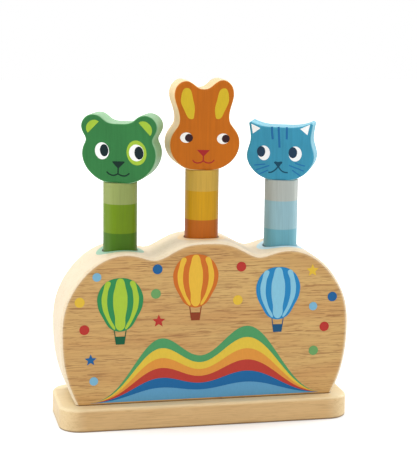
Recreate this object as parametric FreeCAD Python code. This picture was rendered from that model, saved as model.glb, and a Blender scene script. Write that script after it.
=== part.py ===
# Wooden pop up animal toy: a block with three sprung holes on a base plate, and three
# animal pegs that stand in the holes. Millimetres, +Z up, the front faces -Y, and the
# origin is the middle of the base plate's underside.
import FreeCAD, Part
import math
import os

os.makedirs("parts", exist_ok=True)

Vec = FreeCAD.Vector
UP = Vec(0, 0, 1)

# Base plate
plate_length = 192.0
plate_width = 62.0
plate_thickness = 15.0
plate_corner_radius = 14.0
plate_top_rounding = 2.2
plate_bottom_rounding = 0.8

# Block
block_depth = 44.0
block_end_inset = 0.6
block_foot_tuck = 10.2
block_widest_height = 44.0
block_edge_rounding = 2.0
middle_hump_height = 105.0
side_hump_height = 98.9
valley_height = 95.1
shoulder_height = 78.2

# How far a cut runs on past the wood
cut_margin = 1.0

# Pegs and their holes
peg_pitch = 53.7
stem_diameter = 22.0
hole_clearance = 0.6
stem_stands_proud = 43.0
rabbit_stem_stands_proud = 44.4
stem_length = 88.9
stem_end_rounding = 0.8
head_thickness = 18.5
head_edge_rounding = 1.4
bear_head_width = 50.0
bear_head_height = 43.7
bear_head_shift = 1.2
bear_head_lean = 0.0
rabbit_head_width = 46.4
rabbit_head_height = 57.9
rabbit_head_shift = 0.0
rabbit_head_lean = -1.2
cat_head_width = 44.6
cat_head_height = 39.2
cat_head_shift = 0.0
cat_head_lean = 0.0
ear_tip_rounding = 1.5
chin_flat_depth = 0.35
bear_turn = -23.0
rabbit_turn = 0.0
cat_turn = -23.0

# Neck dowels
neck_diameter = 8.0
neck_length = 24.0
neck_end_chamfer = 0.8
glue_gap = 0.05
neck_end_gap = 0.5

# Springs, discs and seats
wire_diameter = 1.0
spring_outer_diameter = 19.5
spring_active_turns = 6
end_turn_gap = 0.5
disc_thickness = 3.5
disc_boss_height = 4.0
seat_thickness = 3.0
seat_boss_height = 5.0
disc_side_gap = 0.3
coil_to_boss_gap = 0.35
coil_end_gap = 0.03
seat_edge_chamfer = 0.5

# Wood screws
screw_diameter = 4.0
screw_head_diameter = 8.0
screw_length = 36.0
screw_sunk = 0.3
screw_inner_place = 26.85
screw_outer_place = 75.0
seat_screw_diameter = 3.5
seat_screw_head_diameter = 7.0
seat_screw_length = 19.0
screw_hole_gap = 0.05
screw_clearance_gap = 0.25
screw_tip_length = 4.0
cross_slot_width = 0.9

# Sizes that follow from those above
block_bottom = plate_thickness
block_widest = plate_length - 2 * block_end_inset
block_base_width = block_widest - 2 * block_foot_tuck
hole_diameter = stem_diameter + 2 * hole_clearance
disc_diameter = hole_diameter - 2 * disc_side_gap
coil_radius = (spring_outer_diameter - wire_diameter) / 2
boss_radius = coil_radius - wire_diameter / 2 - coil_to_boss_gap
seat_top = plate_thickness + seat_thickness
side_stem_top = plate_thickness + side_hump_height + stem_stands_proud
middle_stem_top = plate_thickness + middle_hump_height + rabbit_stem_stands_proud
stem_bottom = side_stem_top - stem_length
middle_stem_length = middle_stem_top - stem_bottom
disc_bottom = stem_bottom - disc_thickness
spring_length = disc_bottom - seat_top

BEAR = {
    "name": "bear",
    "place": -peg_pitch,
    "turn": bear_turn,
    "head_width": bear_head_width,
    "head_height": bear_head_height,
    "head_shift": bear_head_shift,
    "head_lean": bear_head_lean,
    "stem_top": side_stem_top,
    "stem_length": stem_length,
}
RABBIT = {
    "name": "rabbit",
    "place": 0.0,
    "turn": rabbit_turn,
    "head_width": rabbit_head_width,
    "head_height": rabbit_head_height,
    "head_shift": rabbit_head_shift,
    "head_lean": rabbit_head_lean,
    "stem_top": middle_stem_top,
    "stem_length": middle_stem_length,
}
CAT = {
    "name": "cat",
    "place": peg_pitch,
    "turn": cat_turn,
    "head_width": cat_head_width,
    "head_height": cat_head_height,
    "head_shift": cat_head_shift,
    "head_lean": cat_head_lean,
    "stem_top": side_stem_top,
    "stem_length": stem_length,
}


def save(shape, name):
    """Write one piece, after testing that it is sound."""
    if not shape.isValid():
        raise ValueError(name + " is not a valid solid")
    shape.exportStep("parts/" + name + ".step")
    box = shape.BoundBox
    print(name, len(shape.Solids), round(shape.Volume, 1), round(box.ZMin, 2), round(box.ZMax, 2))


def cylinder(radius, height, place, bottom):
    return Part.makeCylinder(radius, height, Vec(place, 0, bottom), UP)


def rounded_disc(radius, height, place, bottom, chamfer):
    """A short cylinder with both rims broken."""
    disc = cylinder(radius, height, place, bottom)
    rims = [e for e in disc.Edges if e.Closed and abs(e.Length - 2 * math.pi * radius) < 0.01]
    return disc.makeChamfer(chamfer, rims)


def curve_through(points):
    """A smooth open curve through points given as (across, up)."""
    curve = Part.BSplineCurve()
    curve.interpolate([Vec(x, 0, z) for x, z in points])
    return curve.toShape()


def closed_curve_through(points):
    """A smooth closed curve through points given as (across, up)."""
    curve = Part.BSplineCurve()
    curve.interpolate(Points=[Vec(x, 0, z) for x, z in points], PeriodicFlag=True)
    return curve.toShape()


def mirrored(half):
    """The whole outline of which half runs from the middle below to the middle above."""
    left = [(-x, z) for x, z in reversed(half[1:-1])]
    return half + left


def slab(edges, thickness):
    """The outline made solid, with its thickness centred on the plane of the outline."""
    face = Part.Face(Part.Wire(edges))
    face.translate(Vec(0, -thickness / 2, 0))
    return face.extrude(Vec(0, thickness, 0))


def outline_edges(shape, thickness):
    """The edges that run round the front and the back of a slab."""
    found = []
    for edge in shape.Edges:
        box = edge.BoundBox
        flat = box.YMax - box.YMin < 1e-3
        outer = abs(abs(box.YMin) - thickness / 2) < 1e-3
        if flat and outer:
            found.append(edge)
    return found


def base_plate():
    """A rectangular board with round corners, a softened top edge and screw holes."""
    half_length = plate_length / 2
    half_width = plate_width / 2
    board = Part.makeBox(
        plate_length, plate_width, plate_thickness, Vec(-half_length, -half_width, 0)
    )
    corners = [e for e in board.Edges if e.BoundBox.ZLength > plate_thickness / 2]
    board = board.makeFillet(plate_corner_radius, corners)
    top = [e for e in board.Edges if e.BoundBox.ZMin > plate_thickness - 1e-3]
    board = board.makeFillet(plate_top_rounding, top)
    bottom = [e for e in board.Edges if e.BoundBox.ZMax < 1e-3]
    board = board.makeFillet(plate_bottom_rounding, bottom)
    for place in screw_places():
        board = board.cut(screw_hole(place))
    seat_screw_depth = seat_screw_length - seat_height() + screw_sunk
    for animal in (BEAR, RABBIT, CAT):
        radius = seat_screw_diameter / 2 + screw_hole_gap
        depth = seat_screw_depth + screw_sunk
        board = board.cut(cylinder(radius, depth, animal["place"], plate_thickness - depth))
    return board


def block_outline():
    """The block's front outline: sides that bulge, two side humps and a taller middle hump.

    Between the named widths and heights, points lie at shares of the distance.
    """
    side = block_widest / 2
    flank = side - peg_pitch
    spacing = peg_pitch / 2
    upper = shoulder_height - block_widest_height
    rise = side_hump_height - shoulder_height
    dip = side_hump_height - valley_height
    climb = middle_hump_height - valley_height
    half = [
        (block_base_width / 2, 0),
        (side * 0.9675, block_widest_height * 0.414),
        (side, block_widest_height),
        (side * 0.980, block_widest_height + upper * 0.561),
        (side * 0.907, shoulder_height),
        (peg_pitch + flank * 0.530, shoulder_height + rise * 0.585),
        (peg_pitch + flank * 0.283, shoulder_height + rise * 0.884),
        (peg_pitch - spacing * 0.045, side_hump_height),
        (peg_pitch - spacing * 0.436, valley_height + dip * 0.447),
        (peg_pitch - spacing * 0.726, valley_height),
        (peg_pitch - spacing * 1.032, valley_height + climb * 0.313),
        (spacing * 0.603, valley_height + climb * 0.798),
        (spacing * 0.298, valley_height + climb * 0.970),
        (0, middle_hump_height),
    ]
    left = [(-x, z) for x, z in reversed(half[:-1])]
    return half + left


def block():
    """The upright block: its outline cut from thick board, with the three peg holes."""
    top = curve_through(block_outline())
    ends = [v.Point for v in top.Vertexes]
    foot = Part.makeLine(ends[-1], ends[0])
    body = slab([top, foot], block_depth)
    rounded = [e for e in outline_edges(body, block_depth) if e.BoundBox.ZMax > cut_margin]
    body = body.makeFillet(block_edge_rounding, rounded)
    body.translate(Vec(0, 0, block_bottom))
    deep = max(middle_hump_height, side_hump_height) + cut_margin
    for animal in (BEAR, RABBIT, CAT):
        body = body.cut(cylinder(hole_diameter / 2, deep, animal["place"], block_bottom))
    for place in screw_places():
        body = body.cut(screw_hole(place))
    return body


def screw_places():
    """The four base screws stand in line, between the peg holes and outside them."""
    return [-screw_outer_place, -screw_inner_place, screw_inner_place, screw_outer_place]


def wood_screw(diameter, head_diameter, length):
    """A countersunk wood screw, its head's flat at zero and its point straight up."""
    head_height = (head_diameter - diameter) / 2
    head = Part.makeCone(head_diameter / 2, diameter / 2, head_height)
    shank = Part.makeCylinder(diameter / 2, length - screw_tip_length)
    tip_base = Vec(0, 0, length - screw_tip_length)
    tip = Part.makeCone(diameter / 2, 0.3, screw_tip_length, tip_base, UP)
    screw = head.fuse([shank, tip]).removeSplitter()
    arm = head_diameter * 0.56
    slot_depth = head_height * 0.8
    for across, along in ((arm, cross_slot_width), (cross_slot_width, arm)):
        corner = Vec(-across / 2, -along / 2, 0)
        screw = screw.cut(Part.makeBox(across, along, slot_depth, corner))
    return screw


def base_screw(place):
    screw = wood_screw(screw_diameter, screw_head_diameter, screw_length)
    screw.translate(Vec(place, 0, screw_sunk))
    return screw


def screw_hole(place):
    """The hole that one base screw makes: countersink and clearance below, a pilot above."""
    head_height = (screw_head_diameter - screw_diameter) / 2
    sink_radius = screw_head_diameter / 2 + screw_hole_gap
    sunk = cylinder(sink_radius, screw_sunk, place, 0)
    neck_radius = screw_diameter / 2 + screw_hole_gap
    sink = Part.makeCone(sink_radius, neck_radius, head_height, Vec(place, 0, screw_sunk), UP)
    clearance_radius = screw_diameter / 2 + screw_clearance_gap
    clearance = cylinder(clearance_radius, plate_thickness, place, 0)
    pilot = cylinder(neck_radius, screw_length + screw_sunk, place, 0)
    return sunk.fuse([sink, clearance, pilot])


def seat_height():
    return seat_thickness + seat_boss_height


def spring_seat(animal):
    """A turned button on the plate: a flange that the spring stands on, and a boss inside it."""
    place = animal["place"]
    flange = rounded_disc(
        disc_diameter / 2, seat_thickness, place, plate_thickness, seat_edge_chamfer
    )
    boss = cylinder(boss_radius, seat_boss_height, place, seat_top)
    seat = flange.fuse(boss).removeSplitter()
    head_height = (seat_screw_head_diameter - seat_screw_diameter) / 2
    head_radius = seat_screw_head_diameter / 2 + screw_hole_gap
    bore_radius = seat_screw_diameter / 2 + screw_hole_gap
    mouth = plate_thickness + seat_height()
    well = cylinder(head_radius, screw_sunk, place, mouth - screw_sunk)
    sink_bottom = Vec(place, 0, mouth - screw_sunk - head_height)
    sink = Part.makeCone(bore_radius, head_radius, head_height, sink_bottom, UP)
    bore = cylinder(bore_radius, seat_height(), place, plate_thickness)
    return seat.cut(well.fuse([sink, bore]))


def seat_screw(animal):
    """The screw that holds the spring seat down, driven from above."""
    screw = wood_screw(seat_screw_diameter, seat_screw_head_diameter, seat_screw_length)
    screw.rotate(Vec(0, 0, 0), Vec(1, 0, 0), 180)
    head_top = plate_thickness + seat_height() - screw_sunk
    screw.translate(Vec(animal["place"], 0, head_top))
    return screw


def spring_path():
    """Points and directions along the wire's centre, a quarter turn apart.

    The end turns lie close, and the turns between them share the rest of the height.
    """
    bottom = seat_top + coil_end_gap + wire_diameter / 2
    rise = spring_length - 2 * coil_end_gap - wire_diameter
    close_pitch = wire_diameter + end_turn_gap
    open_pitch = (rise - 2 * close_pitch) / spring_active_turns
    turns = spring_active_turns + 2
    stations = []
    height = bottom
    for quarter in range(4 * turns + 1):
        angle = quarter * math.pi / 2
        is_end = quarter < 4 or quarter >= 4 * (turns - 1)
        pitch = close_pitch if is_end else open_pitch
        slope = (close_pitch if quarter in (0, 4 * turns) else pitch) / (2 * math.pi)
        point = Vec(coil_radius * math.cos(angle), coil_radius * math.sin(angle), height)
        ahead = Vec(-coil_radius * math.sin(angle), coil_radius * math.cos(angle), slope)
        stations.append((point, ahead.normalize()))
        height += pitch / 4
    return stations


def biarc(start, start_way, end, end_way):
    """Two arcs that leave start and reach end in the given directions and meet smoothly."""
    chord = end - start
    ways = start_way + end_way
    a = 2 * (1 - start_way.dot(end_way))
    b = 2 * chord.dot(ways)
    c = -chord.dot(chord)
    reach = (-b + math.sqrt(b * b - 4 * a * c)) / (2 * a)
    first = start + start_way * reach
    last = end - end_way * reach
    join = (first + last) * 0.5
    arcs = []
    for p, corner, q in ((start, first, join), (join, last, end)):
        middle = (p + q) * 0.5
        half_chord = (q - p).Length / 2
        leg = (corner - p).Length
        rise = half_chord * math.sqrt((leg - half_chord) / (leg + half_chord))
        out = corner - middle
        out.normalize()
        arcs.append(Part.Arc(p, middle + out * rise, q).toShape())
    return arcs


def least_spring_gap():
    """The least gap between one turn of wire and the next, measured on points of the path."""
    path = [point for point, way in spring_path()]
    gaps = []
    for i, point in enumerate(path[:-4]):
        gaps.append((path[i + 4] - point).Length - wire_diameter)
    return min(gaps)


def spring(animal):
    """A compression spring: one unbroken length of round wire."""
    stations = spring_path()
    edges = []
    for (p, way), (q, next_way) in zip(stations, stations[1:]):
        edges += biarc(p, way, q, next_way)
    path = Part.Wire(edges)
    start, way = stations[0]
    ring = Part.Wire(Part.Circle(start, way, wire_diameter / 2).toShape())
    wire = path.makePipeShell([ring], True, False)
    if wire.ShapeType != "Solid":
        wire = Part.Solid(wire) if wire.ShapeType == "Shell" else wire.Solids[0]
    wire.translate(Vec(animal["place"], 0, 0))
    return wire


def push_disc(animal):
    """The disc that the peg stands on, with a boss below that the top coil grips."""
    place = animal["place"]
    disc = rounded_disc(disc_diameter / 2, disc_thickness, place, disc_bottom, seat_edge_chamfer)
    boss = cylinder(boss_radius, disc_boss_height, place, disc_bottom - disc_boss_height)
    return disc.fuse(boss).removeSplitter()


def neck_hole(animal, bottom, depth):
    return cylinder(neck_diameter / 2 + glue_gap, depth, animal["place"], bottom)


def stem(animal):
    """The peg's dowel, with softened ends and a hole for the neck dowel."""
    bottom = animal["stem_top"] - animal["stem_length"]
    rod = cylinder(stem_diameter / 2, animal["stem_length"], animal["place"], bottom)
    rims = [e for e in rod.Edges if e.BoundBox.ZLength < 1e-3]
    rod = rod.makeFillet(stem_end_rounding, rims)
    depth = neck_length / 2 + neck_end_gap
    return rod.cut(neck_hole(animal, animal["stem_top"] - depth, depth))


def neck_pin(animal):
    """A plain glued dowel, half in the stem and half in the head."""
    bottom = animal["stem_top"] - neck_length / 2
    return rounded_disc(
        neck_diameter / 2, neck_length, animal["place"], bottom, neck_end_chamfer
    )


def sized(animal, shares):
    """Points given as shares of a head's half width and of its height above the stem."""
    half_width = animal["head_width"] / 2
    return [(x * half_width, z * animal["head_height"]) for x, z in shares]


def bear_outline():
    """A broad head with two round ears, from the chin's middle to the crown's middle."""
    shares = [
        (0.384, 0.011),
        (0.708, 0.114),
        (0.912, 0.265),
        (0.976, 0.423),
        (0.928, 0.549),
        (0.880, 0.627),
        (0.948, 0.719),
        (1.000, 0.831),
        (0.912, 0.943),
        (0.704, 1.000),
        (0.496, 0.973),
        (0.356, 0.911),
        (0.224, 0.881),
        (0.000, 0.874),
    ]
    half = [(0, -chin_flat_depth)] + sized(BEAR, shares)
    return [closed_curve_through(mirrored(half))]


def rabbit_outline():
    """A round face below two long ears that are joined for most of their height."""
    shares = [
        (0.466, 0.014),
        (0.797, 0.097),
        (0.957, 0.197),
        (1.000, 0.297),
        (0.953, 0.387),
        (0.832, 0.465),
        (0.741, 0.520),
        (0.716, 0.577),
        (0.772, 0.698),
        (0.853, 0.824),
        (0.772, 0.946),
        (0.522, 1.000),
        (0.293, 0.962),
        (0.138, 0.917),
        (0.000, 0.905),
    ]
    half = [(0, -chin_flat_depth)] + sized(RABBIT, shares)
    return [closed_curve_through(mirrored(half))]


def cat_outline():
    """A wide face with a flat crown between two pointed ears."""
    face = [
        (0.368, 0.008),
        (0.655, 0.079),
        (0.883, 0.209),
        (1.000, 0.383),
        (0.960, 0.526),
        (0.901, 0.648),
        (0.910, 0.806),
        (0.969, 1.000),
    ]
    crown = sized(CAT, [
        (0.969, 1.000),
        (0.691, 0.929),
        (0.430, 0.898),
        (0.000, 0.893),
    ])
    half = [(0, -chin_flat_depth)] + sized(CAT, face)
    left = [(-x, z) for x, z in reversed(half[1:])]
    crown_left = [(-x, z) for x, z in reversed(crown[:-1])]
    return [curve_through(left + half), curve_through(crown + crown_left)]


def head(animal, outline):
    """A flat head cut from board, with softened edges, seated on the stem by a flat chin.

    Only a head whose outline has corners, at the ear tips, has edges there to soften.
    """
    board = slab(outline, head_thickness)
    if len(outline) > 1:
        tips = [e for e in board.Edges if abs(e.BoundBox.YLength - head_thickness) < 1e-3]
        board = board.makeFillet(ear_tip_rounding, tips)
    board = board.makeFillet(head_edge_rounding, outline_edges(board, head_thickness))
    board.rotate(Vec(0, 0, 0), Vec(0, 1, 0), animal["head_lean"])
    reach = animal["head_width"]
    below = Part.makeBox(2 * reach, 2 * reach, reach, Vec(-reach, -reach, -reach))
    board = board.cut(below)
    board.translate(Vec(animal["head_shift"], 0, 0))
    board.rotate(Vec(0, 0, 0), UP, animal["turn"])
    board.translate(Vec(animal["place"], 0, animal["stem_top"]))
    depth = neck_length / 2 + neck_end_gap
    return board.cut(neck_hole(animal, animal["stem_top"], depth))


save(base_plate(), "base_plate")
save(block(), "block")
save(Part.makeCompound([base_screw(place) for place in screw_places()]), "base_screws")
for animal, outline in ((BEAR, bear_outline()), (RABBIT, rabbit_outline()), (CAT, cat_outline())):
    name = animal["name"]
    save(head(animal, outline), name + "_head")
    save(stem(animal), name + "_stem")
    save(neck_pin(animal), name + "_neck_pin")
    save(push_disc(animal), name + "_push_disc")
    save(spring(animal), name + "_spring")
    save(spring_seat(animal), name + "_spring_seat")
    save(seat_screw(animal), name + "_seat_screw")
print("least gap of a spring to itself", round(least_spring_gap(), 2), "mm")
print("spring length", round(spring_length, 2), "mm")
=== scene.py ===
import bpy
import math
from mathutils import Matrix, Vector


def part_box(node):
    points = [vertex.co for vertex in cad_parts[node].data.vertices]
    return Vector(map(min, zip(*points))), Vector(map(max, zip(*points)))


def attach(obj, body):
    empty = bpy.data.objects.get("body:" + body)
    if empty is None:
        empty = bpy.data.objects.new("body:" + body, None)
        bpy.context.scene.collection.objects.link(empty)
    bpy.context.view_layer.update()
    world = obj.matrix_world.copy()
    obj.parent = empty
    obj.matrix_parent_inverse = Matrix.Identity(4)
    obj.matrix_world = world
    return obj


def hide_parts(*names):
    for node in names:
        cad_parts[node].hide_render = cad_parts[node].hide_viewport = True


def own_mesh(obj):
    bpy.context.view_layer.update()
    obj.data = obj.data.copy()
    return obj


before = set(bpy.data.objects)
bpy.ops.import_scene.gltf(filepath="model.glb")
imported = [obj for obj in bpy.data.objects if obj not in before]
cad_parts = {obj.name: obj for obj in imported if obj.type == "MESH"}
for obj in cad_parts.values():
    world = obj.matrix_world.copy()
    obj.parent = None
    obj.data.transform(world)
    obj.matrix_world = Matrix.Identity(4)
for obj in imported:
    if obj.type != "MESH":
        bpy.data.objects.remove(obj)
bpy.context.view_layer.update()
MM = 0.001


# The view of the toy: a little to its left and above it, as a shop picture is taken,
# with a long lens. Distances are from the middle of the plate's underside.
view_azimuth = math.radians(12.71)
view_elevation = math.radians(10.13)
view_roll = math.radians(0.81)
view_place = Vector((-195.4, -887.9, 286.5)) * MM
view_lens = 110.6

camera = bpy.data.objects.new("camera", bpy.data.cameras.new("camera"))
bpy.context.scene.collection.objects.link(camera)
camera.data.lens = view_lens
camera.data.sensor_width = 36
camera.matrix_world = (
    Matrix.Translation(view_place)
    @ Matrix.Rotation(-view_azimuth, 4, "Z")
    @ Matrix.Rotation(math.pi / 2 - view_elevation, 4, "X")
    @ Matrix.Rotation(view_roll, 4, "Z")
)
bpy.context.scene.camera = camera


# The studio: a white paper floor that keeps a soft shadow and a white surround. A tall
# lamp stands on each side, and a broad one hangs above and another in front.
class Field:
    """A shader socket that can be added, multiplied and compared like a number."""

    def __init__(self, finish, socket):
        self.finish = finish
        self.socket = socket

    def maths(self, operation, *others, clamp=False):
        settings = {"operation": operation, "use_clamp": clamp}
        values = dict(enumerate([self, *others]))
        return self.finish.node("ShaderNodeMath", settings, values).out("Value")

    def __add__(self, other):
        return self.maths("ADD", other)

    def __radd__(self, other):
        return self.maths("ADD", other)

    def __sub__(self, other):
        return self.maths("SUBTRACT", other)

    def __rsub__(self, other):
        return (self * -1) + other

    def __mul__(self, other):
        return self.maths("MULTIPLY", other)

    def __rmul__(self, other):
        return self.maths("MULTIPLY", other)

    def __truediv__(self, other):
        return self.maths("DIVIDE", other)

    def __abs__(self):
        return self.maths("ABSOLUTE")

    def root(self):
        return self.maths("SQRT")

    def clamped(self):
        return self.maths("ADD", 0, clamp=True)

    def over(self, edge, soft):
        """0 below edge and 1 above it, with a ramp of the width soft between."""
        return ((self - (edge - soft / 2)) / soft).clamped()


class Made:
    """A node, with its outputs by name."""

    def __init__(self, finish, node):
        self.finish = finish
        self.node = node

    def out(self, name):
        return Field(self.finish, self.node.outputs[name])


class Finish:
    """A material and the nodes that make it."""

    def __init__(self, name):
        self.material = bpy.data.materials.new(name)
        self.material.use_nodes = True
        self.tree = self.material.node_tree
        self.shader = self.tree.nodes["Principled BSDF"]

    def node(self, kind, settings=None, values=None):
        node = self.tree.nodes.new(kind)
        for name, value in (settings or {}).items():
            setattr(node, name, value)
        for name, value in (values or {}).items():
            self.set(node.inputs[name], value)
        return Made(self, node)

    def set(self, socket, value):
        if isinstance(value, Field):
            self.tree.links.new(value.socket, socket)
        else:
            socket.default_value = value

    def give(self, **values):
        """Sets the main shader's sockets, whose names are written with underscores."""
        for name, value in values.items():
            self.set(self.shader.inputs[name.replace("_", " ")], value)

    def place(self, scale=(1, 1, 1), turn=(0, 0, 0)):
        """Object coordinates, turned and then scaled."""
        at = self.node("ShaderNodeTexCoord").out("Object")
        values = {"Vector": at, "Rotation": turn, "Scale": scale}
        return self.node("ShaderNodeMapping", {}, values).out("Vector")

    def axes(self, vector):
        parts = self.node("ShaderNodeSeparateXYZ", {}, {"Vector": vector})
        return parts.out("X"), parts.out("Y"), parts.out("Z")

    def noise(self, vector, scale=1.0, detail=2.0, roughness=0.5, distortion=0.0):
        values = {
            "Vector": vector,
            "Scale": scale,
            "Detail": detail,
            "Roughness": roughness,
            "Distortion": distortion,
        }
        return self.node("ShaderNodeTexNoise", {}, values).out("Fac")

    def mix(self, factor, first, second, way="MIX"):
        """One colour laid over another."""
        made = self.node("ShaderNodeMix", {"data_type": "RGBA", "blend_type": way})
        sockets = {s.identifier: s for s in made.node.inputs}
        self.set(sockets["Factor_Float"], factor)
        self.set(sockets["A_Color"], first)
        self.set(sockets["B_Color"], second)
        result = [s for s in made.node.outputs if s.identifier == "Result_Color"][0]
        return Field(self, result)

    def bump(self, height, strength, distance):
        values = {"Height": height, "Strength": strength, "Distance": distance}
        return self.node("ShaderNodeBump", {}, values).out("Normal")


def colour(code):
    """A colour written as six hex digits, as the shader's own linear numbers."""
    parts = [int(code[i : i + 2], 16) / 255 for i in (0, 2, 4)]
    linear = [c / 12.92 if c <= 0.04045 else ((c + 0.055) / 1.055) ** 2.4 for c in parts]
    return (*linear, 1.0)


def dressed(piece, finish):
    piece.data.materials.clear()
    piece.data.materials.append(finish.material)


floor_size = 6.0
floor_white = 0.80
fibre_grey = 0.70
shadow_middle = (20.0 * MM, 50.0 * MM)
shadow_reach = 180.0 * MM
shadow_fade = 220.0 * MM
glow_in_shadow = 0.1
surround_light = 0.42

bpy.ops.object.select_all(action="DESELECT")
bpy.ops.mesh.primitive_plane_add(size=floor_size, location=(0, 0, 0))
floor = bpy.context.object
floor.name = "floor"
paper = Finish("paper")
x, y, z = paper.axes(paper.node("ShaderNodeTexCoord").out("Object"))
x = x - shadow_middle[0]
y = y - shadow_middle[1]
away = (x * x + y * y).root()
seen = paper.node("ShaderNodeLightPath").out("Is Camera Ray")
glow = seen * (away.over(shadow_reach, shadow_fade) * (1 - glow_in_shadow) + glow_in_shadow)
fibres = paper.noise(paper.place(scale=(400, 400, 400)), 1.0, 2, 0.5)
white_paper = (floor_white, floor_white, floor_white, 1)
grey_fibre = (fibre_grey, fibre_grey, fibre_grey, 1)
paper.give(Base_Color=paper.mix(fibres * 0.02, white_paper, grey_fibre), Roughness=0.9)
paper.give(Emission_Color=paper.mix(glow, (0, 0, 0, 1), (1, 1, 1, 1)), Emission_Strength=1.0)
dressed(floor, paper)

world = bpy.data.worlds.new("studio")
bpy.context.scene.world = world
world.use_nodes = True
surround = world.node_tree
sky = surround.nodes["Background"]
sky.inputs["Color"].default_value = (1, 1, 1, 1)
sky.inputs["Strength"].default_value = surround_light
white = surround.nodes.new("ShaderNodeBackground")
white.inputs["Color"].default_value = (1, 1, 1, 1)
white.inputs["Strength"].default_value = 1.0
rays = surround.nodes.new("ShaderNodeLightPath")
sees_white = rays.outputs["Is Camera Ray"]
for kind in ("Is Glossy Ray", "Is Transmission Ray"):
    either = surround.nodes.new("ShaderNodeMath")
    either.operation = "MAXIMUM"
    surround.links.new(sees_white, either.inputs[0])
    surround.links.new(rays.outputs[kind], either.inputs[1])
    sees_white = either.outputs["Value"]
choice = surround.nodes.new("ShaderNodeMixShader")
surround.links.new(sees_white, choice.inputs["Fac"])
surround.links.new(sky.outputs["Background"], choice.inputs[1])
surround.links.new(white.outputs["Background"], choice.inputs[2])
surround.links.new(choice.outputs["Shader"], surround.nodes["World Output"].inputs["Surface"])


lamps_face = Vector((0, 0, 100.0)) * MM


def lamp(name, place, wide, high, power):
    """A soft rectangular lamp that faces the middle of the toy."""
    made = bpy.data.objects.new(name, bpy.data.lights.new(name, "AREA"))
    bpy.context.scene.collection.objects.link(made)
    made.data.shape = "RECTANGLE"
    made.data.size = wide
    made.data.size_y = high
    made.data.energy = power
    made.location = place
    made.rotation_euler = (lamps_face - Vector(place)).to_track_quat("-Z", "Y").to_euler()


lamp("left", (-1.0, 0.05, 0.45), 0.4, 1.1, 5.4)
lamp("right", (1.1, 0.2, 0.45), 0.4, 1.1, 8)
lamp("above", (0.0, 0.3, 1.4), 1.0, 1.0, 12)
lamp("front", (-0.1, -1.6, 1.0), 1.2, 1.2, 11)
bpy.context.scene.view_settings.view_transform = "Standard"


# The block and the base plate: rubberwood boards, planed, sanded round at the edges and
# lacquered. The long grain runs across the front, and its pores show as short brown
# dashes. The top, sides, ends and rounded edges are paler, partly in the wood and partly
# as painted light. Painted shadow darkens the block's foot and the plate's lowest edge,
# and painted shade darkens the bores over their darker wood. A painted ring rims each peg
# hole.
block_half_depth = 22.0 * MM
edge_rounding = 2.0 * MM
soft_edge = 3.0 * MM
crisp = 0.1 * MM
foot_height = 4.0 * MM
# A painted shadow line along the block's foot, where it stands on the plate.
foot_shadow_height = 0.7 * MM
foot_shadow_fade = 0.4 * MM
foot_shadow_cover = 0.75
gap_shade = "5a3c20"
lacquer_shine = 0.3
lacquer_roughness = 0.42
pore_depth = 0.2 * MM
plate_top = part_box("base_plate")[1][2]
hole_places = {
    name: sum(corner[0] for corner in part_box(name + "_stem")) / 2
    for name in ("bear", "rabbit", "cat")
}
hole_radius = 11.6 * MM
ring_radius = 15.6 * MM
ring_lowest = 85.0 * MM
ring_fade = 0.25 * MM
ring_cover = 0.86
ring_paints = {"bear": "82bda2", "rabbit": "fbd9a0", "cat": "b9e0ee"}
wood_face = "d3ac6c"
wood_face_dark = "c59055"
wood_pore = "8c5b32"
# Pale tones for the top, the sides and the rounded edges: paler wood, with painted light on top of
# it.
wood_edge_and_painted_light = "ebdabd"
wood_edge_pore_and_painted_light = "dcc49c"
# The bore walls: darker drilled wood, with painted shade inside the hole.
bore_wood_and_shade = "8a4a24"
bore_wood_and_shade_cover = 0.75
block_board = 3.7


def board_grain(finish, face, face_dark, pore, board, cover):
    """The colour of a rubberwood board with its grain along X, and where its pores are.

    The number of the board moves the broad figure, and cover is how dark the pores are.
    """
    x, y, z = finish.axes(finish.place(scale=(9, 70, 70)))
    moved = finish.node("ShaderNodeCombineXYZ", {}, {"X": x + board, "Y": y, "Z": z})
    broad = finish.noise(moved.out("Vector"), 1.0, 3, 0.55, 0.5)
    fine = finish.noise(finish.place(scale=(28, 800, 800)), 1.0, 3, 0.6, 0.3)
    short = finish.noise(finish.place(scale=(150, 1700, 1700)), 1.0, 2, 0.5, 0.2)
    long = finish.noise(finish.place(scale=(70, 1200, 1200)), 1.0, 2, 0.5, 0.2)
    where = finish.noise(finish.place(scale=(20, 140, 140)), 1.0, 2, 0.5, 0.4)
    pores = short.over(0.62, 0.08) * 0.5 + long.over(0.58, 0.07) * where.over(0.50, 0.25)
    pores = pores.clamped()
    tone = finish.mix(broad.over(0.52, 0.30) * 0.6, colour(face), colour(face_dark))
    tone = finish.mix(fine.over(0.55, 0.30) * 0.25, tone, colour(pore))
    tone = finish.mix(pores * cover, tone, colour(pore))
    return tone, pores


block_wood = Finish("rubberwood_block")
face_tones = (wood_face, wood_face_dark, wood_pore)
edge_tones_and_painted_light = (wood_edge_and_painted_light, wood_edge_and_painted_light, wood_edge_pore_and_painted_light)
front_tone, pores = board_grain(block_wood, *face_tones, block_board, 0.72)
edge_tone_and_painted_light = board_grain(block_wood, *edge_tones_and_painted_light, block_board, 0.68)[0]
x, y, z = block_wood.axes(block_wood.node("ShaderNodeTexCoord").out("Object"))
front = abs(y).over(block_half_depth - edge_rounding * 0.03, 0.9 * crisp)
# Near the rounded edges the front fades to the pale tone: sanded wood, and a painted highlight
# where the rounding catches the light.
edge_band_and_highlight = block_wood.node(
    "ShaderNodeAmbientOcclusion",
    {"inside": True, "only_local": True, "samples": 16},
    {"Distance": soft_edge},
)
at_foot = 1 - z.over(plate_top + foot_height, foot_height)
front = front * edge_band_and_highlight.out("AO").over(0.78, 0.36).maths("MAXIMUM", at_foot)
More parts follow.
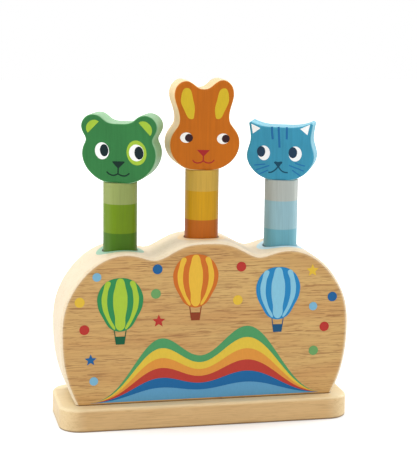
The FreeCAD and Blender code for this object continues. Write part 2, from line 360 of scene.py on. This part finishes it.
# The top, sides and rounded edges take the pale tone, partly paler wood and partly painted light.
tone = block_wood.mix(front, edge_tone_and_painted_light, front_tone)
for name, place in hole_places.items():
    away = ((x - place) * (x - place) + y * y).root()
    ring = 1 - away.over(ring_radius, ring_fade)
    ring = ring * away.over(hole_radius - 2 * crisp, crisp)
    ring = ring * z.over(plate_top + ring_lowest, 1 * MM) * (1 - front)
    tone = block_wood.mix(ring * ring_cover, tone, colour(ring_paints[name]))
    # Inside each bore: darker wood, with painted shade.
    inside = 1 - away.over(hole_radius + crisp, 2 * crisp)
    tone = block_wood.mix(inside * bore_wood_and_shade_cover, tone, colour(bore_wood_and_shade))
# Painted shadow: a dark line along the foot of the block.
foot_shadow = 1 - z.over(plate_top + foot_shadow_height, foot_shadow_fade)
tone = block_wood.mix(foot_shadow * foot_shadow_cover, tone, colour(gap_shade))
relief = block_wood.bump(pores * -1, 0.25, pore_depth)
block_wood.give(Base_Color=tone, Roughness=lacquer_roughness, Normal=relief)
block_wood.give(Specular_IOR_Level=lacquer_shine)
dressed(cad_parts["block"], block_wood)

plate_board = 11.3
plate_front_tones = ("d6ae74", "cb9f62", "9c7040")
# Pale tones for the plate's top and ends: paler wood, with painted light on top of it.
plate_edge_tones_and_painted_light = ("f0e0b8", "ecd8ac", "d8bc88")
plate_ends_pale_from = 86.0 * MM
plate_ends_fade = 14.0 * MM
plate_rim = 1.2 * MM
plate_rim_fade = 1.6 * MM
# A painted shadow line along the plate's lowest edge, where it stands on the floor.
under_shadow_height = 1.0 * MM
under_shadow_fade = 0.7 * MM
under_shadow_cover = 0.7

plate_wood = Finish("rubberwood_plate")
front_tone, pores = board_grain(plate_wood, *plate_front_tones, plate_board, 0.32)
edge_tone_and_painted_light = board_grain(plate_wood, *plate_edge_tones_and_painted_light, plate_board, 0.5)[0]
x, y, z = plate_wood.axes(plate_wood.node("ShaderNodeTexCoord").out("Object"))
# The top, its rounded rim and the ends take the pale tone, partly paler wood and partly painted
# light.
rim = z.over(plate_top - plate_rim, plate_rim_fade)
ends = abs(x).over(plate_ends_pale_from, plate_ends_fade)
pale = (rim * 0.7 + ends * 0.6).clamped()
tone = plate_wood.mix(pale * 0.8 + 0.12, front_tone, edge_tone_and_painted_light)
# Painted shadow: a dark line along the plate's lowest edge.
under_shadow = 1 - z.over(under_shadow_height, under_shadow_fade)
tone = plate_wood.mix(under_shadow * under_shadow_cover, tone, colour(gap_shade))
relief = plate_wood.bump(pores * -1, 0.2, pore_depth)
plate_wood.give(Base_Color=tone, Roughness=lacquer_roughness, Normal=relief)
plate_wood.give(Specular_IOR_Level=lacquer_shine)
dressed(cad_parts["base_plate"], plate_wood)


# The heads: flat boards cut to the animals' outlines, painted one deep colour on both
# faces and a paler tint round the edge, with a faint long grain showing through. On the
# rounded rim of each face the paler tint also stands in as a painted highlight.
head_half_thickness = 9.25 * MM
head_edge_rounding = 1.4 * MM
paint_line = 0.25 * MM
head_turns = {"bear": -23.0, "rabbit": 0.0, "cat": -23.0}
face_shifts = {"bear": 1.5, "rabbit": 0.0, "cat": 0.0}  # millimetres
paint_shine = 0.2
paint_roughness = 0.40
paint_relief = 0.1 * MM
grain_cover = 0.12
black = (0, 0, 0, 1)
head_paints = {"bear": "357c42", "rabbit": "c86b08", "cat": "3c98b8"}
# Paler edge tints, reaching onto the rounded rim of each face as a painted highlight.
head_edge_tints_and_rim_highlight = {"bear": "94c294", "rabbit": "f5d5a0", "cat": "7cc0d4"}

for name, place in hole_places.items():
    paint = Finish(name + "_paint")
    x, y, z = paint.axes(paint.node("ShaderNodeTexCoord").out("Object"))
    turn = math.radians(head_turns[name])
    deep = (x - place) * -math.sin(turn) + y * math.cos(turn)
    face = abs(deep).over(head_half_thickness - head_edge_rounding * 0.25, paint_line)
    grain = paint.noise(paint.place(scale=(700, 700, 30)), 1.0, 3, 0.6)
    cloud = paint.noise(paint.place(scale=(60, 60, 40)), 1.0, 2, 0.5)
    tone = paint.mix(face, colour(head_edge_tints_and_rim_highlight[name]), colour(head_paints[name]))
    tone = paint.mix(grain.over(0.56, 0.3) * grain_cover, tone, black)
    tone = paint.mix(cloud.over(0.5, 0.5) * grain_cover, tone, black)
    relief = paint.bump(grain, 0.12, paint_relief)
    paint.give(Base_Color=tone, Roughness=paint_roughness, Normal=relief)
    paint.give(Specular_IOR_Level=paint_shine)
    dressed(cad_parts[name + "_head"], paint)


# The faces: inks printed on the front of each head, each a film with a crisp edge. A
# place on a face is in millimetres across from its middle and up from the chin.
film_thickness = 0.04
film_step = 0.03
ink_darkest = 0.86
ink_mottle = 0.5
oval_points = 16


def smooth_loop(points):
    """A closed curve through the points."""
    return {"points": points, "closed": True, "smooth": True}


def sharp_loop(points):
    """A closed outline with straight sides."""
    return {"points": points, "closed": True, "smooth": False}


def oval(across, up, half_width, half_height, lean=0.0):
    """A closed oval that leans to the left at its top by lean degrees."""
    points = []
    for i in range(oval_points):
        t = i * 2 * math.pi / oval_points
        dx = half_width * math.cos(t)
        dy = half_height * math.sin(t)
        c = math.cos(math.radians(lean))
        s = math.sin(math.radians(lean))
        points.append((across + dx * c - dy * s, up + dx * s + dy * c))
    return smooth_loop(points)


def stroke(points, width):
    """An open brush line through the points."""
    return {"points": points, "closed": False, "smooth": True, "width": width}


def ink_finish(code):
    """A slightly mottled printing ink, made once for each colour."""
    known = bpy.data.materials.get("ink_" + code)
    if known is not None:
        return known
    made = Finish("ink_" + code)
    mottle = made.noise(made.place(scale=(900, 900, 300)), 1.0, 2, 0.5)
    darker = tuple(c * ink_darkest for c in colour(code)[:3]) + (1,)
    tone = made.mix(mottle.over(0.5, 0.5) * ink_mottle, colour(code), darker)
    made.give(Base_Color=tone, Roughness=paint_roughness, Specular_IOR_Level=paint_shine)
    return made.material


def ink(name, shapes, code, centre, half_thickness, turn, body, layer):
    """Printed shapes of one colour, on the front of a board that stands at centre."""
    made = []
    for i, shape in enumerate(shapes):
        curve = bpy.data.curves.new(name, "CURVE")
        curve.dimensions = "2D" if shape["closed"] else "3D"
        curve.resolution_u = 8
        spline = curve.splines.new("BEZIER")
        spline.bezier_points.add(len(shape["points"]) - 1)
        spline.use_cyclic_u = shape["closed"]
        for knot, (across, up) in zip(spline.bezier_points, shape["points"]):
            knot.co = (across * MM, up * MM, 0)
            kind = "AUTO" if shape["smooth"] else "VECTOR"
            knot.handle_left_type = kind
            knot.handle_right_type = kind
        if shape["closed"]:
            curve.fill_mode = "BOTH"
            curve.extrude = film_thickness / 2 * MM
        else:
            curve.bevel_depth = shape["width"] / 2 * MM
            curve.bevel_resolution = 3
            curve.use_fill_caps = True
        piece = bpy.data.objects.new(name + str(i), curve)
        bpy.context.scene.collection.objects.link(piece)
        made.append((piece, shape))
    bpy.ops.object.select_all(action="DESELECT")
    for piece, shape in made:
        piece.select_set(True)
        bpy.context.view_layer.objects.active = piece
    bpy.ops.object.convert(target="MESH")
    for piece, shape in made:
        if not shape["closed"]:
            flat = film_thickness / shape["width"]
            piece.data.transform(Matrix.Diagonal((1, 1, flat, 1)))
    if len(made) > 1:
        bpy.ops.object.join()
    piece = bpy.context.object
    piece.name = name
    out = half_thickness + (film_thickness / 2 + layer * film_step) * MM
    spin = math.radians(turn)
    away = Vector((math.sin(spin), -math.cos(spin), 0)) * out
    piece.matrix_world = (
        Matrix.Translation(Vector(centre) + away)
        @ Matrix.Rotation(spin, 4, "Z")
        @ Matrix.Rotation(math.pi / 2, 4, "X")
    )
    bpy.ops.object.transform_apply()
    piece.data.materials.clear()
    piece.data.materials.append(ink_finish(code))
    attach(piece, body)


def on_head(animal, name, shapes, code, layer):
    turn = head_turns[animal]
    across = Vector((face_shifts[animal] * MM, 0, 0))
    across.rotate(Matrix.Rotation(math.radians(turn), 3, "Z"))
    centre = across + Vector((hole_places[animal], 0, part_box(animal + "_head")[0][2]))
    piece_name = animal + "_" + name
    ink(piece_name, shapes, code, centre, head_half_thickness, turn, animal + "_peg", layer)


def half_disc(first, last, bulge, steps=10):
    """A straight cut between two corners, and a round side that bulges to its left."""
    (x0, z0), (x1, z1) = first, last
    half_x, half_z = (x1 - x0) / 2, (z1 - z0) / 2
    reach = math.hypot(half_x, half_z)
    points = []
    for i in range(steps + 1):
        t = math.pi * i / steps
        along = -math.cos(t)
        out = math.sin(t) * bulge / reach
        across = x0 + half_x * (1 + along) - half_z * out
        up = z0 + half_z * (1 + along) + half_x * out
        points.append((across, up))
    return sharp_loop(points)


on_head("bear", "ear_patches", [
    half_disc((-20.5, 31.6), (-13.4, 38.9), 4.4),
    half_disc((12.5, 38.9), (20.0, 30.9), 4.6),
], "a2c23c", 0)
on_head("bear", "eye_ring", [oval(11.3, 19.8, 6.4, 7.9, 8)], "a2c23c", 0)
on_head("bear", "eye_whites", [
    oval(-11.2, 20.4, 4.6, 5.4, 6),
    oval(11.2, 19.8, 4.75, 5.3, 8),
], "fbfbf8", 1)
on_head("bear", "pupils", [
    oval(-9.8, 20.8, 2.75, 3.9, 4),
    oval(12.9, 19.8, 2.9, 4.1, 6),
], "0c2226", 2)
on_head("bear", "nose", [
    sharp_loop([(-4.5, 13.4), (-4.2, 14.0), (3.2, 14.1), (3.6, 13.5), (0.1, 9.9), (-1.2, 9.9)]),
    stroke([(-0.6, 10.5), (-0.7, 5.9)], 0.9),
    stroke([(-8.2, 7.2), (-6.2, 5.6), (-3.4, 5.0), (-0.7, 6.0)], 0.9),
    stroke([(-0.7, 6.0), (2.0, 4.9), (4.6, 5.1), (6.8, 6.7)], 0.9),
], "07291f", 0)

on_head("rabbit", "ear_patches", [
    smooth_loop([
        (-12.5, 52.9), (-16.3, 46.5), (-14.4, 39.4), (-8.8, 33.0), (-7.6, 36.0), (-8.3, 45.0),
    ]),
    smooth_loop([
        (11.8, 52.6), (15.0, 47.5), (12.6, 38.6), (7.7, 32.9), (6.2, 35.8), (7.0, 44.0),
    ]),
], "d8b828", 0)
on_head("rabbit", "eye_whites", [
    oval(-12.6, 21.2, 4.0, 3.3),
    oval(11.6, 20.2, 4.1, 3.4),
], "fbf8f2", 1)
on_head("rabbit", "pupils", [
    oval(-10.9, 21.0, 2.6, 2.6),
    oval(13.3, 20.2, 2.6, 2.6),
], "30141a", 2)
on_head("rabbit", "nose", [
    sharp_loop([(-5.6, 13.3), (3.0, 13.0), (-1.3, 8.7)]),
    stroke([(-1.3, 9.4), (-1.3, 6.1)], 0.8),
    stroke([(-8.4, 6.7), (-6.6, 5.1), (-3.6, 4.9), (-1.3, 6.1)], 0.8),
    stroke([(-1.3, 6.1), (0.8, 4.9), (3.8, 4.9), (6.0, 6.5)], 0.8),
], "a82424", 0)

on_head("cat", "ear_patches", [
    sharp_loop([(-19.4, 36.4), (-13.3, 33.7), (-18.3, 30.0)]),
    sharp_loop([(19.0, 37.0), (12.6, 34.0), (17.4, 30.1)]),
], "fbfdfd", 0)
on_head("cat", "brow_stripes", [
    stroke([(-5.9, 34.9), (-5.6, 30.5), (-5.1, 26.7)], 1.4),
    stroke([(-1.5, 34.9), (-1.0, 28.0), (-0.6, 21.4)], 1.4),
    stroke([(3.9, 34.9), (4.0, 30.5), (4.0, 26.9)], 1.4),
], "226ca4", 0)
on_head("cat", "eye_whites", [
    oval(-10.8, 17.6, 4.0, 4.8),
    oval(9.8, 17.6, 4.2, 4.9),
], "fbfdfd", 1)
on_head("cat", "pupils", [
    oval(-12.6, 18.5, 2.7, 3.5),
    oval(8.2, 18.4, 2.8, 3.6),
], "1c3850", 2)
on_head("cat", "whiskers", [
    stroke([(-17.0, 9.4), (-9.7, 10.3)], 0.8),
    stroke([(-15.9, 6.2), (-7.0, 9.5)], 0.8),
    stroke([(-14.1, 3.4), (-7.7, 6.4)], 0.8),
    stroke([(9.7, 11.5), (16.3, 9.9)], 0.8),
    stroke([(5.9, 10.0), (15.6, 6.6)], 0.8),
    stroke([(8.0, 6.9), (13.4, 3.4)], 0.8),
], "2272ac", 0)
on_head("cat", "nose", [
    smooth_loop([(-3.9, 11.8), (-1.2, 12.0), (1.4, 12.0), (0.4, 10.2), (-1.1, 8.7), (-2.8, 10.2)]),
    stroke([(-7.6, 4.9), (-5.6, 5.2), (-3.2, 6.7), (-1.1, 9.0)], 0.9),
    stroke([(-1.1, 9.0), (0.4, 6.9), (2.6, 5.5), (5.2, 5.2)], 0.9),
], "0c4860", 0)


# The print on the block's front: screen printed inks in a cheerful picture of balloons
# over striped hills, with dots and stars between. Each ink lies flat on the lacquer.
def on_block(name, shapes, code, layer):
    ink(name, shapes, code, (0, 0, plate_top), block_half_depth, 0.0, "base", layer)


hill_half_width = 76


def hill_height(across):
    """How high the hills stand: two rounded hills that run out before the block's sides."""
    first = 40 * math.exp(-(((across + 31) / 25) ** 2))
    second = 47 * math.exp(-(((across - 27) / 30) ** 2))
    return (first + second) * max(0.0, 1 - (across / hill_half_width) ** 6)


hill_inks = ("4c9860", "e0c040", "de943c", "b83a2e", "14649e", "5c9cc4")
hill_shares = (1.0, 0.84, 0.68, 0.52, 0.36, 0.2)
hill_foot = 1.4
thinnest_stripe = 0.05
stations = [-hill_half_width + 2 * i for i in range(hill_half_width + 1)]
for k, code in enumerate(hill_inks):
    lowest = hill_foot + thinnest_stripe
    top = [(a, lowest + hill_height(a) * hill_shares[k]) for a in stations]
    foot = [(hill_half_width, hill_foot), (-hill_half_width, hill_foot)]
    on_block("hill_stripe_" + str(k), [sharp_loop(top + foot)], code, k)


def balloon(name, across, up, main, stripe, cords):
    """A balloon about 29 mm wide, whose bag has its middle at the place given."""
    def at(points):
        return [(across + a, up + b) for a, b in points]

    bag = [(0, 17), (8.5, 14.7), (14, 7.5), (14.6, 0), (11.2, -8.5), (4.6, -16.8), (-4.6, -16.8),
           (-11.2, -8.5), (-14.6, 0), (-14, 7.5), (-8.5, 14.7)]
    middle = [(0, 16.8), (3.6, 10), (4.6, 1), (3.4, -8), (1.6, -16.6), (-1.6, -16.6), (-3.4, -8),
              (-4.6, 1), (-3.6, 10)]
    outer = [(7.2, 15), (11.2, 8), (11.8, 0), (9, -8.6), (4.2, -16.2), (3.4, -16.4), (6.6, -8.4),
             (8.4, 0), (8, 8)]
    basket = [(-3.6, -21.2), (3.6, -21.2), (2.8, -26.4), (-2.8, -26.4)]
    on_block(name + "_bag", [smooth_loop(at(bag))], main, 6)
    stripes = [smooth_loop(at(middle)), smooth_loop(at(outer))]
    stripes.append(smooth_loop(at([(-a, b) for a, b in outer])))
    on_block(name + "_stripes", stripes, stripe, 7)
    lines = [stroke(at([(side * 3.9, -16.6), (side * 3.2, -21.4)]), 0.6) for side in (-1, 1)]
    on_block(name + "_basket", [sharp_loop(at(basket))] + lines, cords, 6)


balloon("green_balloon", -57, 66, "2f8a50", "a8c83c", "0f5a3a")
balloon("orange_balloon", -8, 80, "cc6c24", "e8b83c", "8c3c1c")
balloon("blue_balloon", 47, 70, "2484bc", "86c4dc", "145078")


def star(across, up, reach):
    """A star with five points."""
    points = []
    for i in range(10):
        t = math.pi / 2 + i * math.pi / 5
        r = reach if i % 2 == 0 else reach * 0.45
        points.append((across + r * math.cos(t), up + r * math.sin(t)))
    return sharp_loop(points)


def dot(across, up, radius=3.2):
    return oval(across, up, radius, radius)


confetti = {
    "red_dots": ("b8342c", [dot(-80, 50), dot(22, 88), dot(79, 46), star(-32, 54, 4.4)]),
    "blue_dots": ("1c6098", [dot(-33, 88), dot(84, 66), star(-76, 30, 4.0)]),
    "yellow_dots": ("e4bc3c", [dot(-83, 68), dot(20, 66), star(70, 84, 4.4)]),
    "green_dots": ("6ca060", [dot(-34, 72), dot(72, 30)]),
    "pale_dots": ("7cb4d0", [dot(-72, 84, 2.8), dot(71, 60, 2.8), dot(-74, 16, 2.8)]),
}
for name, (code, shapes) in confetti.items():
    on_block(name, shapes, code, 6)


# The stems: dowels painted in five bands, from pale at the neck to dark at the foot.
# Each band is sprayed over the bare wood, and the foot's end stays unpainted.
first_band = 13.7 * MM
band = 18.8 * MM
bare_end = 0.15 * MM
bare_wood = "e6d6b8"
stem_roughness = 0.32
stem_shine = 0.2
grain_shadow = (0.05, 0.04, 0.02, 1)
band_paints = {
    "bear": ("93a05c", "6c8a10", "477010", "386418", "2a581e"),
    "rabbit": ("cca445", "cf9a12", "bc6412", "ac5410", "9c4a0e"),
    "cat": ("b0b6b0", "92b8c2", "6caaba", "187cb2", "1a6492"),
}

for name in hole_places:
    low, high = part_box(name + "_stem")
    paint = Finish(name + "_bands")
    x, y, z = paint.axes(paint.node("ShaderNodeTexCoord").out("Object"))
    down = z * -1 + high[2]
    tone = colour(band_paints[name][0])
    for i, code in enumerate(band_paints[name][1:]):
        tone = paint.mix(down.over(first_band + i * band, paint_line), tone, colour(code))
    bare = down.over(high[2] - low[2] - bare_end, crisp)
    tone = paint.mix(bare, tone, colour(bare_wood))
    grain = paint.noise(paint.place(scale=(900, 900, 40)), 1.0, 3, 0.6)
    tone = paint.mix(grain.over(0.56, 0.3) * grain_cover, tone, grain_shadow)
    relief = paint.bump(grain, 0.12, paint_relief)
    paint.give(Base_Color=tone, Roughness=stem_roughness, Normal=relief)
    paint.give(Specular_IOR_Level=stem_shine)
    dressed(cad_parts[name + "_stem"], paint)


# Hidden woodwork: the glued neck dowels, the push discs and the spring seats are turned
# from plain beech and left bare.
beech = Finish("turned_beech")
rings = beech.noise(beech.place(scale=(500, 500, 60)), 1.0, 3, 0.6)
beech_tone = beech.mix(rings.over(0.5, 0.4), colour("c49a68"), colour("a87c4c"))
beech.give(Base_Color=beech_tone, Roughness=0.6, Normal=beech.bump(rings, 0.15, 0.1 * MM))
for name in hole_places:
    for kind in ("_neck_pin", "_push_disc", "_spring_seat"):
        dressed(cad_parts[name + kind], beech)


# The screws: zinc plated wood screws, a little yellow, with fine turning marks. Four
# hold the block down through the plate, and one holds each spring seat.
zinc = Finish("zinc_plate")
marks = zinc.noise(zinc.place(scale=(300, 300, 3000)), 1.0, 2, 0.5)
zinc.give(Base_Color=zinc.mix(marks, colour("c9c0a0"), colour("aaa488")), Metallic=1.0)
zinc.give(Roughness=0.3 + marks * 0.15)
for name in ("base_screws", "bear_seat_screw", "rabbit_seat_screw", "cat_seat_screw"):
    dressed(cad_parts[name], zinc)


# The springs: bright drawn wire. Each stands on its seat on the plate.
steel = Finish("spring_wire")
drawn = steel.noise(steel.place(scale=(2000, 2000, 400)), 1.0, 2, 0.5)
steel.give(Base_Color=steel.mix(drawn, colour("b9bbbe"), colour("9a9da1")), Metallic=1.0)
steel.give(Roughness=0.22 + drawn * 0.12)
wire_thickness = 1.0 * MM
coil_radius = 9.25 * MM
close_pitch = 1.5 * MM
open_turns = 6
steps_a_turn = 24


def coil_line(place, low, high):
    """Points along the wire: a close turn at each end and open turns between."""
    rise = high - low - wire_thickness
    open_pitch = (rise - 2 * close_pitch) / open_turns
    points = []
    height = low + wire_thickness / 2
    for i in range((open_turns + 2) * steps_a_turn + 1):
        t = 2 * math.pi * i / steps_a_turn
        points.append((place + coil_radius * math.cos(t), coil_radius * math.sin(t), height))
        turn = i // steps_a_turn
        height += (close_pitch if turn in (0, open_turns + 1) else open_pitch) / steps_a_turn
    return points


for name, place in hole_places.items():
    low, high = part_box(name + "_spring")
    curve = bpy.data.curves.new(name + "_coil", "CURVE")
    curve.dimensions = "3D"
    points = coil_line(place, low[2], high[2])
    spline = curve.splines.new("POLY")
    spline.points.add(len(points) - 1)
    for knot, point in zip(spline.points, points):
        knot.co = (*point, 1)
    curve.bevel_depth = wire_thickness / 2
    curve.bevel_resolution = 3
    curve.use_fill_caps = True
    wire = bpy.data.objects.new(name + "_coil", curve)
    bpy.context.scene.collection.objects.link(wire)
    bpy.ops.object.select_all(action="DESELECT")
    wire.select_set(True)
    bpy.context.view_layer.objects.active = wire
    bpy.ops.object.convert(target="MESH")
    bpy.ops.object.shade_smooth_by_angle(angle=math.radians(40))
    wire = bpy.context.object
    dressed(wire, steel)
    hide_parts(name + "_spring")
    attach(wire, "base")
    name + "_press"
    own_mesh(wire)
